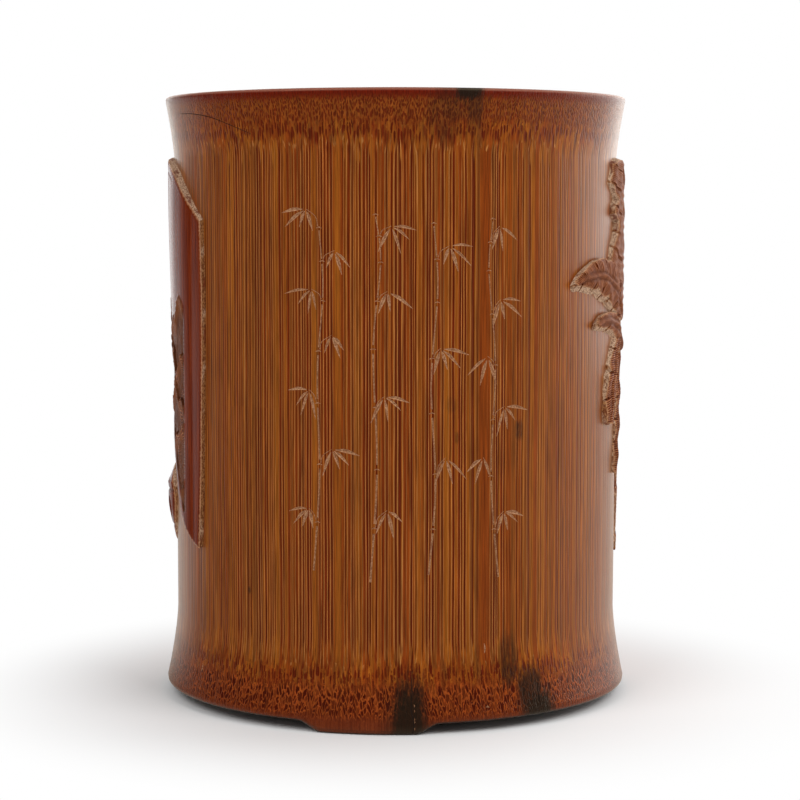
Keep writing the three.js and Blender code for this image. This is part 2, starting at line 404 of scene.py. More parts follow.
def leaf(name, midrib, widths, rise, tears=(), outline=None, flare=0.35, drop=0.0):
    """A broad leaf, from its base to its tip, with a raised midrib, slanting veins and torn edges."""
    curve = wide_curve(midrib, widths)
    along, across = directions(curve)
    share = np.linspace(0.0, 1.0, len(curve))
    if outline is None:
        sides = []
        for side in (1.0, -1.0):
            width = curve[:, 2].copy()
            for tear_side, place, size in tears:
                if tear_side == side:
                    width *= 1.0 - size * bell(share - place, TEAR_WIDTH)
            sides.append(curve[:, :2] + side * across * width[:, None])
        outline = on_angles(np.concatenate([sides[0], sides[1][::-1]]))
    distance = np.concatenate([[0.0], np.cumsum(np.linalg.norm(np.diff(curve[:, :2], axis=0), axis=1))])

    def detail(u, z, depth):
        here = np.stack([u, z], axis=1)
        gaps = np.linalg.norm(here[:, None, :] - curve[None, :, :2], axis=2)
        nearest = gaps.argmin(axis=1)
        offset = here - curve[nearest, :2]
        side = (offset * across[nearest]).sum(axis=1)
        run = distance[nearest] + (offset * along[nearest]).sum(axis=1)
        outward = np.abs(side)
        lines = run - 0.45 * outward - 0.012 * outward ** 2
        rib = bell(outward, 0.4)
        furrow = bell(outward - 0.85, 0.35)
        fold = 0.5 + 0.5 * np.cos(2.0 * math.pi * lines / FOLD_PITCH)
        folds = fold ** 2 * smooth(outward, 0.6, 1.6) * smooth(depth, 0.1, 0.8)
        reach = outward / np.maximum(curve[nearest, 2], 0.5)
        sag = -0.45 * reach ** 2
        ripple = 0.2 * np.sin(2.0 * math.pi * run / RIPPLE_PITCH + 0.9 * side)
        unsteady = value_noise(u, z, 2.0, 5)
        stripe = lines + FOLD_PITCH * np.sign(side) + 0.4 * unsteady
        split = bell(stripe % SPLIT_PITCH - 0.5 * SPLIT_PITCH, 0.16) * smooth(reach, 0.35, 0.6)
        height = 0.3 * rib - 0.25 * furrow + 0.2 * folds + sag + ripple - 0.9 * split
        return height, lines + 0.35 * unsteady, np.clip(0.8 * furrow + 0.5 * (1.0 - fold) + split, 0.0, 1.0)

    return relief(name, outline, rise, detail, 0.4, flare, drop)


def rectangle(from_angle, to_angle, bottom, top):
    return [(from_angle, bottom), (to_angle, bottom), (to_angle, top), (from_angle, top)]


SCREEN = [(-57.2, 39.8), (-55.9, 60.0), (-55.1, 85.0), (-55.1, 103.0), (-56.0, 119.4),
          (-60.3, 122.6), (-65.0, 126.5), (-71.0, 130.8), (-77.0, 133.2), (-83.0, 134.6),
          (-92.0, 135.0), (-104.0, 135.0), (-104.0, 82.0), (-96.0, 79.0), (-88.0, 73.5),
          (-80.0, 66.5), (-74.0, 58.4), (-70.8, 52.4), (-68.5, 48.6), (-64.3, 43.8), (-60.0, 40.6)]
SCREEN_FOLDS = (-80.0, -92.0)
SCREEN_STILE = -64.5
HILL_ROWS = 6
FIRST_HILL = 44.0
HILL_STEP = 10.5
NO_HILL = 40.0


def screen():
    """The folding screen: a polished frame, and hills in layers on its panels."""

    def detail(u, z, depth):
        angle = u / MM_PER_DEGREE
        inside = smooth(-angle, -SCREEN_STILE, 0.6 - SCREEN_STILE) * smooth(depth, 2.2, 2.6)
        below = np.full(len(u), NO_HILL)
        for layer in range(HILL_ROWS):
            ridge = FIRST_HILL + HILL_STEP * layer + 3.2 * np.sin(0.33 * u + 2.1 * layer)
            gap = ridge + 1.4 * np.sin(0.9 * u + layer) + 1.2 * value_noise(u, z, 1.6, layer) - z
            below = np.where((gap > 0.0) & (gap < below), gap, below)
        hills = 1.0 - smooth(below, NO_HILL - 2.0, NO_HILL - 1.0)
        hatch = 1.3 + below + 1.1 * value_noise(u, z, 2.2, 9)
        picture = hills * (0.1 - 0.5 * smooth(below, 0.0, 5.0) + 0.25 * value_noise(u, z, 0.9, 3))
        frame_line = bell(depth - 2.3, 0.25) * smooth(-angle, 72.0, 75.0)
        worn = -1.05 * smooth(-angle, 62.0, 86.0) * smooth(-z, -128.0, -68.0)
        folds = sum(bell(angle - fold, 0.45) for fold in SCREEN_FOLDS)
        tilt = 0.3 * np.abs((angle - SCREEN_FOLDS[0]) / 12.0 % 2.0 - 1.0) * smooth(-angle, 66.0, 72.0)
        # The stile is rounded over towards its free edge.
        over = np.clip((angle + 66.5) / 6.2, 0.0, 1.0) ** 2
        bulge = 0.4 * (1.0 - over) * smooth(angle, -88.0, -68.0) - 0.2 * over
        height = inside * picture + worn + tilt + bulge - 0.5 * folds - 0.15 * frame_line - 0.1
        patina = inside * hills * smooth(below, 1.5, 6.0) * 0.8 + folds + 0.4 * frame_line
        return (np.maximum(height, 0.4 - SCREEN_RISE), np.where(inside * hills > 0.5, hatch, 0.0),
                np.clip(patina, 0.0, 1.0))

    return relief("screen", SCREEN, SCREEN_RISE, detail, 0.58, 0.12, -0.35)


STOOL_MIDDLE = -91.0
STOOL_HALF = 10.6


def stool():
    """The barrel stool: a belly with two rings, a row of studs and openings."""
    outline = rounded([(-84.0, 38.0), (-80.6, 44.0), (-80.6, 52.0), (-84.0, 56.8), (-91.0, 57.6),
                       (-98.0, 56.8), (-101.4, 52.0), (-101.4, 44.0), (-98.0, 38.0)])

    def detail(u, z, depth):
        across = (u / MM_PER_DEGREE - STOOL_MIDDLE) / STOOL_HALF
        belly = half_round(across)
        profile = smooth(z, 37.0, 48.0) * (1.0 - 0.75 * smooth(z, 52.0, 58.0))
        around = np.arcsin(np.clip(across, -1.0, 1.0))
        ring = bell(z - 51.2, 0.4) + bell(z - 42.2, 0.4)
        openings = np.hypot((np.abs(around) - 0.55) / 0.34, (z - 46.7) / 3.0)
        hole = 1.0 - smooth(openings, 0.75, 1.0)
        studs = np.maximum(0.0, np.cos(13.0 * around)) ** 2 * bell(z - 53.2, 0.6)
        modelled = (0.3 * studs - 0.35 * ring - 1.1 * hole) * belly
        height = STOOL_RISE * (belly * profile - 1.0) + 0.25 + modelled
        return height, 0.0, np.clip(0.8 * ring + hole, 0.0, 1.0)

    return relief("stool", outline, STOOL_RISE, detail, 0.4)


def leaves():
    """The plantain's leaves, back ones first."""
    upright = [(69.6, 107.0), (70.0, 110.3), (71.4, 112.9), (74.6, 116.2), (76.2, 119.4), (71.4, 121.2),
               (72.0, 123.0), (74.8, 124.4), (71.2, 127.6), (68.9, 128.8), (70.6, 131.0), (70.9, 133.2),
               (76.0, 134.4), (84.0, 134.2), (90.0, 133.0), (95.6, 131.0), (92.0, 127.4), (98.8, 124.0),
               (101.4, 118.0), (95.0, 115.4), (102.0, 112.0), (101.0, 105.0), (97.0, 98.0), (90.0, 94.0),
               (83.0, 97.0), (75.0, 101.0)]
    return [
        leaf("plantain_back", [(95, 96), (104, 112), (115, 121), (126, 120), (135, 111), (139, 102)],
             [2, 6, 8.5, 8, 5, 0.6], LEAF_RISE,
             [(1.0, 0.35, 0.3), (1.0, 0.62, 0.25), (-1.0, 0.5, 0.35), (-1.0, 0.75, 0.3)]),
        leaf("plantain_low", [(98, 74), (108, 84), (119, 86), (128, 79), (131, 71)],
             [1.5, 4.5, 6, 4, 0.5], LEAF_RISE, [(1.0, 0.45, 0.25), (-1.0, 0.6, 0.3)]),
        leaf("plantain_upright", [(90, 94), (88, 106), (86, 117), (84, 128), (82, 135.5)],
             [5, 13, 14.5, 12.5, 8], LEAF_RISE, outline=upright, flare=0.6),
        leaf("plantain_hanging", [(79, 91), (74, 86), (70.5, 80), (69, 74), (68.5, 69.5)],
             [2, 2.6, 3.4, 3.2, 2.2], LEAF_RISE * 0.9, [(-1.0, 0.45, 0.3)], flare=0.6),
        leaf("plantain_tip", [(84, 87), (83, 76), (79.5, 66), (75.5, 56.5)],
             [1.4, 2.4, 1.7, 0.4], LEAF_RISE * 0.6, flare=0.1),
        leaf("plantain_small", [(84, 87), (80, 91), (72, 94.3), (64, 95), (59, 94.2)],
             [1, 2.6, 2.4, 1.8, 0.5], LEAF_RISE * 0.95, [(1.0, 0.7, 0.3)], drop=0.6),
        leaf("plantain_drooping",
             [(80, 96), (76, 100.7), (69, 104.3), (61, 106.2), (53, 105.6), (49, 104.2)],
             [2, 4.6, 5, 4.2, 2, 0.4], LEAF_RISE,
             [(1.0, 0.45, 0.2), (1.0, 0.64, 0.25), (-1.0, 0.5, 0.12)], flare=0.7, drop=0.8),
    ]


def trunk():
    """The plantain's trunk, wrapped in the long sheaths of old leaves."""
    midrib = [(101, 34), (99, 55), (96, 78), (93, 98)]
    curve = wide_curve(midrib, [5.5, 5, 4.2, 3.6])
    sideways = curve[:, 2:3] * np.array([[1.0, 0.0]])
    outline = on_angles(np.concatenate([curve[:, :2] + sideways, (curve[:, :2] - sideways)[::-1]]))

    def detail(u, z, depth):
        centre = np.interp(z, curve[:, 1], curve[:, 0])
        half = np.interp(z, curve[:, 1], curve[:, 2])
        across = (u - centre) / half
        sheaths = np.abs(np.sin(2.6 * across + 0.045 * z + 0.8 * np.sin(z / 14.0)))
        step = (z + 2.5 * across ** 2 + 1.5 * np.sin(0.11 * z)) % SHEATH_PITCH
        scar = bell(step, 0.5)
        height = 0.3 * half_round(across) + 0.22 * sheaths - 0.35 - 0.3 * scar + 0.2 * step / SHEATH_PITCH
        return height, u, np.maximum(smooth(0.4 - sheaths, 0.0, 0.3), scar)

    return relief("trunk", outline, TRUNK_RISE, detail)


ROCK = [(141, 34), (138, 44), (143, 53), (140, 64), (148, 74), (147, 84), (155, 93), (164, 97),
        (171, 91), (172, 79), (179, 70), (176, 58), (182, 47), (179, 34)]
# Holes: angle, height, half width and half height in mm.
ROCK_HOLES = ((152.0, 66.0, 3.0, 5.8), (165.0, 81.0, 3.4, 5.4), (163.0, 53.0, 4.6, 3.2),
              (172.5, 44.0, 2.4, 2.8), (148.0, 46.0, 2.0, 3.2), (158.0, 89.0, 1.5, 2.4))


def rock():
    """The scholar's rock, with sharp folds, hollows and holes that go through to the ground."""

    def detail(u, z, depth):
        bent_u = u + 3.4 * value_noise(u, z, 8.0, 31)
        bent_z = 0.62 * z + 3.4 * value_noise(u, z, 8.0, 32)
        folds = np.abs(2.0 * value_noise(bent_u, bent_z, 6.5, 11) - 1.0)
        crags = np.abs(2.0 * value_noise(bent_u, bent_z, 2.8, 12) - 1.0)
        height = 1.15 * folds + 0.5 * crags + 0.12 * value_noise(u, z, 1.1, 13) - 1.15
        height = height - 0.7 * (1.0 - smooth(depth, 0.0, 3.5))
        patina = smooth(0.42 - folds, 0.0, 0.3)
        for angle, middle, wide, tall in ROCK_HOLES:
            away = np.hypot((bent_u - 1.7 - angle * MM_PER_DEGREE) / wide,
                            (z + 2.0 * value_noise(u, z, 4.0, 33) - 1.0 - middle) / tall)
            height = height + 0.35 * bell(away - 1.35, 0.22) - 2.6 * (1.0 - smooth(away, 0.8, 1.08))
            patina = np.maximum(patina, 1.0 - smooth(away, 0.85, 1.15))
        hatch = 1.0 + 1.1 * bent_u + 1.4 * folds + 0.9 * value_noise(u, z, 1.3, 34)
        return height, hatch, patina

    return relief("rock", rounded(ROCK), ROCK_RISE, detail, 0.54, 0.6)


# Level bars as (from angle, to angle, bottom, top). Upright bars stand at angles, with half
# their width in degrees and a span of heights.
TABLE = (204.0, 238.0, 84.0, 87.0)
TABLE_LEGS = (207.0, 235.0)
TABLE_APRON = (*TABLE_LEGS, 79.6, 81.2)
LEG_HALF = 1.5
LEG_SPAN = (57.0, TABLE[2] + 1.0)
VASE_MIDDLE = 221.0
VASE_HALF = 8.0
RAIL = (184.0, 249.0, 55.0, 58.0)
RAIL_FOOT = (184.0, 249.0, 36.0, 38.5)
RAIL_POSTS = (187.0, 207.0, 227.0, 247.0)
POST_HALF = 1.6
POST_SPAN = (36.5, 61.0)
MIDDLE_SPAN = (48.4, 49.8)
SLAT_HALF = 0.7
SLAT_SPAN = (49.0, 56.0)
STRUT_SPAN = (37.5, 49.0)


def bar(name, rows, rise):
    """A straight bar with a bead along its middle."""
    lying = (rows[1] - rows[0]) * MM_PER_DEGREE > rows[3] - rows[2]

    def detail(u, z, depth):
        return 0.22 * smooth(depth, 0.3, 0.8) - 0.12, 1.0 + (z if lying else u), 0.0

    return relief(name, rectangle(*rows), rise, detail, 0.6, 0.15)


def upright_bars(name, angles, half, span, rise, first=0):
    return [bar(f"{name}_{index}", (angle - half, angle + half, *span), rise)
            for index, angle in enumerate(angles, first)]


def vase():
    """The vase, with bands at its lip, its shoulder and its foot, and petals round its belly."""
    outline = rounded([(216.5, 86), (213.5, 92), (213.8, 98), (217.6, 104), (217.2, 109),
                       (224.8, 109), (224.4, 104), (228.2, 98), (228.5, 92), (225.5, 86)], 1)

    def detail(u, z, depth):
        across = (u / MM_PER_DEGREE - VASE_MIDDLE) / VASE_HALF
        bands = sum(bell(z - level, 0.4) for level in (107.6, 102.8, 99.4, 88.2))
        petals = np.abs(np.sin(1.6 * math.pi * np.arcsin(np.clip(across, -1.0, 1.0)) / 1.2))
        petals = petals * smooth(z, 89.0, 90.5) * smooth(-z, -98.6, -96.0)
        height = -0.6 * VASE_RISE * (1.0 - half_round(across)) + 0.25 * bands + 0.3 * petals - 0.2
        return height, 0.0, 0.8 * (1.0 - petals) * smooth(z, 89.0, 90.0) * smooth(-z, -98.9, -97.5)

    return relief("vase", outline, VASE_RISE, detail, 0.45, 0.3)


def stem(name, line):
    """A thin stem that tapers along a line of (angle, height)."""
    curve = wide_curve(line, np.linspace(0.7, 0.35, len(line)), 5)
    across = directions(curve)[1] * curve[:, 2:3]
    edge = np.concatenate([curve[:, :2] + across, (curve[:, :2] - across)[::-1]])
    return relief(name, on_angles(edge), TWIG_RISE, None, 0.4, 0.15)


def bud(name, angle, height):
    """Five petals round a dimple."""
    outline = [(angle + 1.25 * math.sin(turn), height + 1.2 * math.cos(turn))
               for turn in np.linspace(0.0, 5.6, 9)]

    def detail(u, z, depth):
        du, dz = u - angle * MM_PER_DEGREE, z - height
        petals = np.abs(np.cos(2.5 * np.arctan2(dz, du)))
        dimple = np.exp(-((du ** 2 + dz ** 2) / 0.12))
        return 0.25 * petals - 0.45 * dimple, 0.0, dimple

    return relief(name, outline, BUD_RISE, detail, 0.35, 0.15)


def twig():
    """A bare branch with buds in the vase: its stems and its buds as two groups of solids."""
    lines = ([(221.0, 108.0), (220.0, 113.0), (222.5, 118.0), (220.5, 124.0), (223.0, 129.5)],
             [(221.3, 116.5), (225.5, 119.5), (230.0, 120.5)],
             [(221.4, 122.5), (217.5, 126.0), (214.5, 126.8)])
    ends = ((223.2, 130.2), (230.6, 120.7), (214.0, 127.0), (226.4, 120.6), (217.0, 127.0), (219.2, 119.0))
    stems = [stem(f"twig_{index}", line) for index, line in enumerate(lines)]
    return stems, [bud(f"bud_{index}", *place) for index, place in enumerate(ends)]


def furniture():
    """The table with its vase and the low rail, as groups of solids that don't touch in a group."""
    uprights = [vase()] + upright_bars("table_leg", TABLE_LEGS, LEG_HALF, LEG_SPAN, TABLE_RISE)
    uprights += upright_bars("rail_post", RAIL_POSTS, POST_HALF, POST_SPAN, RAIL_RISE + 0.3)
    levels = [bar("table_top", TABLE, TABLE_RISE + 0.2), bar("table_apron", TABLE_APRON, TABLE_RISE - 0.4),
              bar("rail_foot", RAIL_FOOT, RAIL_RISE - 0.2), bar("rail_top", RAIL, RAIL_RISE)]
    # In each bay there are a level bar, three slats above it, and a strut below it.
    bays = list(zip(RAIL_POSTS, RAIL_POSTS[1:]))
    for index, (start, end) in enumerate(bays):
        levels.append(bar(f"rail_middle_{index}", (start + 1.0, end - 1.0, *MIDDLE_SPAN), RAIL_RISE - 0.3))
        quarters = [start + (end - start) * step / 4.0 for step in (1, 2, 3)]
        uprights += upright_bars(f"rail_slat_{index}", quarters, SLAT_HALF, SLAT_SPAN, SLAT_RISE, 1)
    halves = [0.5 * (start + end) for start, end in bays]
    struts = upright_bars("rail_strut", halves, SLAT_HALF, STRUT_SPAN, SLAT_RISE)
    stems, buds = twig()
    return [uprights, levels, struts + stems[:1], stems[1:], buds]


# Incised lines: wedges that are cut out of the ground and reach a little above it.

CUTTER_LIFT = 0.3


def wedges(name, strokes, material):
    """Cutters for strokes: a line of (angle, height), widths in mm, and the depth as a share of them."""
    points, faces = [], []
    for line, widths, depth in strokes:
        curve = wide_curve(line, widths, 4, 0.06)
        cut = depth * curve[:, 2]
        half = 0.5 * curve[:, 2] * (1.0 + CUTTER_LIFT / cut)
        base = len(points)
        for centre, side, reach, deep in zip(curve[:, :2], directions(curve)[1], half, cut):
            for shift, radial in ((-1.0, CUTTER_LIFT), (1.0, CUTTER_LIFT), (0.0, -deep)):
                u, z = centre + shift * reach * side
                angle = u / MM_PER_DEGREE
                points.append(on_wall(np.array(ground_radius(angle, z) + radial), angle, z))
        for step in range(len(curve) - 1):
            a = base + step * 3
            for here, after in ((0, 1), (1, 2), (2, 0)):
                faces.append((a + here, a + 3 + here, a + 3 + after, a + after))
        last = base + (len(curve) - 1) * 3
        faces += [(base, base + 1, base + 2), (last + 2, last + 1, last)]
    return make_object(name, points, faces, [material])


def bamboo_spray():
    """Four slender bamboo stems on the plain front, as layers of strokes that don't cross in a layer."""
    draw = np.random.default_rng(11)
    layers = [[] for _ in range(6)]
    culms = (
        [(-20.0, 37.0), (-18.4, 60.0), (-18.9, 84.0), (-17.4, 104.0), (-18.4, 118.0)],
        [(-6.0, 34.5), (-4.3, 62.0), (-5.2, 90.0), (-3.4, 110.0), (-4.6, 121.0)],
        [(8.0, 36.5), (9.7, 58.0), (8.6, 82.0), (10.2, 104.0), (9.2, 119.0)],
        [(25.8, 35.0), (23.7, 60.0), (24.8, 86.0), (23.0, 108.0), (24.0, 120.0)],
    )
    taken = []
    for index, line in enumerate(culms):
        path = curve_through(line, 24)
        joints = np.linspace(0, len(path) - 1, 8 + index % 2).astype(int)
        for number, (start, end) in enumerate(zip(joints, joints[1:])):
            width = 0.5 - 0.03 * number
            internode = [tuple(path[step]) for step in (start + 1, (start + end) // 2, end - 1)]
            layers[0].append((internode, [width, 0.8 * width, width], 0.6))
            angle, z = path[end]
            layers[1].append(([(angle - 0.7, z - 0.1), (angle, z + 0.15), (angle + 0.7, z - 0.1)],
                              [0.1, 0.28, 0.1], 0.6))
            side = 1.0 if (number + index) % 2 else -1.0
            tip = (angle + side * draw.uniform(2.0, 3.4), z + draw.uniform(2.0, 4.5))
            if any(math.hypot((tip[0] - a) * MM_PER_DEGREE, tip[1] - b) < 9.0 for a, b in taken):
                continue
            taken.append(tip)
            middle = (angle + side * 0.9, z + 0.6 * (tip[1] - z))
            layers[1].append(([(angle + side * 0.3, z + 0.4), middle, tip], [0.2, 0.18, 0.12], 0.7))
            for blade in range(draw.integers(3, 5)):
                fan = math.radians(-90.0 + side * (34.0 * blade - 20.0) + draw.uniform(-8.0, 8.0))
                length = draw.uniform(4.4, 7.4)
                across, up = math.cos(fan) * length, math.sin(fan) * length
                line = [(tip[0] + share * across / MM_PER_DEGREE, tip[1] + share * up + bow)
                        for share, bow in ((0.12, 0.0), (0.5, 0.35), (1.0, 0.0))]
                layers[2 + blade].append((line, [0.14, draw.uniform(0.6, 0.95), 0.08], 0.45))
    layers[0] += chips()
    return layers


def chips():
    """Small pale chips in the foot, and flecks along its crack."""
    strokes = [([(22.0, 18.2), (22.15, 19.4), (22.0, 20.5)], [0.1, 0.42, 0.1], 0.6),
               ([(21.6, 5.7), (22.0, 5.9), (22.4, 5.6)], [0.1, 0.4, 0.1], 0.6),
               ([(-55.9, 9.8), (-55.6, 10.8), (-55.7, 11.8)], [0.1, 0.4, 0.1], 0.6)]
    for step in range(5):
        z = 1.3 + 1.3 * step + 0.35 * math.sin(2.3 * step)
        angle = 4.4 + 0.12 * math.sin(3.1 * step)
        strokes.append(([(angle, z), (angle + 0.1, z + 0.3), (angle, z + 0.6)], [0.06, 0.14, 0.06], 0.6))
    return strokes


def hairlines():
    """Fine cracks: one in the rim on the left, and two in the foot."""
    return [
        ([(-66, 145.3), (-58, 145.0), (-50, 143.9), (-43, 141.9), (-36.5, 139.7)],
         [0.08, 0.16, 0.14, 0.16, 0.06], 1.2),
        ([(3.6, 15.0), (4.0, 10.0), (3.7, 6.0), (4.3, 3.0), (4.0, 0.6)],
         [0.06, 0.14, 0.2, 0.24, 0.26], 1.2),
        ([(36.8, 12.0), (36.2, 8.0), (36.5, 4.6)], [0.06, 0.16, 0.2], 1.2),
    ]


# Materials.

class Socket:
    """An output of a node, which takes part in sums as a number does."""

    def __init__(self, nodes, output):
        self.nodes = nodes
        self.output = output

    def __add__(self, other):
        return self.nodes.math("ADD", self, other)

    def __sub__(self, other):
        return self.nodes.math("SUBTRACT", self, other)

    def __rsub__(self, other):
        return self.nodes.math("SUBTRACT", other, self)

    def __mul__(self, other):
        return self.nodes.math("MULTIPLY", self, other)

    def __truediv__(self, other):
        return self.nodes.math("DIVIDE", self, other)

    def __pow__(self, other):
        return self.nodes.math("POWER", self, other)

    def __abs__(self):
        return self.nodes.math("ABSOLUTE", self)


def colour(red, green, blue):
    """A display colour from 0 to 255 as the linear values that a shader takes."""
    linear = [(v / 255.0 / 12.92 if v <= 10 else ((v / 255.0 + 0.055) / 1.055) ** 2.4)
              for v in (red, green, blue)]
    return (*linear, 1.0)


class Nodes:
    """Short calls for building a node tree."""

    def __init__(self, tree):
        self.tree = tree

    def give(self, node, inputs):
        """Links sockets to a node's inputs, and stores plain values in them."""
        for key, value in inputs.items():
            if isinstance(value, Socket):
                self.tree.links.new(value.output, node.inputs[key])
            else:
                node.inputs[key].default_value = value

    def add(self, kind, inputs, **settings):
        node = self.tree.nodes.new(kind)
        for key, value in settings.items():
            setattr(node, key, value)
        self.give(node, inputs)
        return node

    def get(self, kind, inputs, output=0, **settings):
        """One output of a new node."""
        return Socket(self, self.add(kind, inputs, **settings).outputs[output])

    def parts(self, value, kind="ShaderNodeSeparateXYZ"):
        return [Socket(self, output) for output in self.add(kind, {0: value}).outputs]

    def math(self, operation, a, b=0.0):
        return self.get("ShaderNodeMath", {0: a, 1: b}, operation=operation)

    def most(self, a, b):
        return self.math("MAXIMUM", a, b)

    def dot(self, a, b):
        return self.get("ShaderNodeVectorMath", {0: a, 1: b}, "Value", operation="DOT_PRODUCT")

    def ramp(self, value, low, high, out_low=0.0, out_high=1.0, kind="SMOOTHSTEP"):
        inputs = {0: value, 1: low, 2: high, 3: out_low, 4: out_high}
        return self.get("ShaderNodeMapRange", inputs, interpolation_type=kind)

    def noise(self, place, detail, scale=1.0):
        """Noise at a place, which is a socket or the parts of a vector."""
        if isinstance(place, tuple):
            place = self.get("ShaderNodeCombineXYZ", dict(enumerate(place)))
        return self.get("ShaderNodeTexNoise", {"Vector": place, "Scale": scale, "Detail": detail})

    def mix(self, factor, a, b, blend="MIX"):
        """Mixes two colours, which are sockets or display colours from 0 to 255."""
        a, b = (colour(*each) if isinstance(each, tuple) else each for each in (a, b))
        return self.get("ShaderNodeMix", {0: factor, 6: a, 7: b}, 2, data_type="RGBA", blend_type=blend)

    def blend(self, factor, a, b):
        """Mixes two numbers."""
        return self.get("ShaderNodeMix", {0: factor, 2: a, 3: b})

    def rays(self):
        """Whether a ray comes from the camera, and whether it is a reflection."""
        outputs = self.add("ShaderNodeLightPath", {}).outputs
        return [Socket(self, outputs[name]) for name in ("Is Camera Ray", "Is Glossy Ray")]


class Material(Nodes):
    def __init__(self, name):
        self.material = bpy.data.materials.new(name)
        self.material.use_nodes = True
        super().__init__(self.material.node_tree)
        self.shader = self.tree.nodes["Principled BSDF"]

    def bump(self, height, distance):
        return self.get("ShaderNodeBump", {"Height": height, "Strength": 1.0, "Distance": distance})

    def finished(self, inputs):
        """The material, once its shader has its inputs."""
        self.give(self.shader, inputs)
        return self.material


def object_place(n):
    return n.get("ShaderNodeTexCoord", {}, "Object")


def wall_place(n):
    """Sockets in mm: arc round the wall, distance out from the ground's radius, height, and the angle."""
    x, y, z = n.parts(object_place(n))
    radius = n.math("SQRT", x * x + y * y) * METRE
    turn = n.math("ARCTAN2", x, y * -1.0)
    return turn * GROUND, radius - GROUND, z * METRE, turn * (180.0 / math.pi)


def bundles(n, arc, row, size, randomness=0.72):
    """The vascular bundles that a cut shows, in rows from the skin inwards.

    Returns the distance from a bundle's middle, the distance from the border between
    bundles, both in bundles, and three random values that go with the bundle."""
    place = n.get("ShaderNodeCombineXYZ", {0: arc / size, 1: row})
    inputs = {"Vector": place, "Scale": 1.0, "Randomness": randomness}
    cells = n.add("ShaderNodeTexVoronoi", inputs, voronoi_dimensions="2D")
    border = n.get("ShaderNodeTexVoronoi", inputs, "Distance", voronoi_dimensions="2D",
                   feature="DISTANCE_TO_EDGE")
    random = n.parts(Socket(n, cells.outputs["Color"]), "ShaderNodeSeparateColor")
    return Socket(n, cells.outputs["Distance"]), border, random


def bundle_rows(n, arc, out, z):
    """Which row of bundles the surface has reached, where the rows close up towards the skin."""
    uneven = n.noise((arc * 0.7, 4.0), 1.0)
    grown = n.ramp(z, MIDDLE + 1.0, MIDDLE - 1.0, 0.0, 0.3)
    outward = n.most(out - grown, 0.0) * (uneven + 0.5)
    inward = n.math("MINIMUM", out + 0.5, 0.0)
    jitter = n.noise((arc * 1.1, z * 0.012), 1.0)
    return outward * (outward * 0.8 + 1.0) + inward * 0.7 + jitter * 0.55


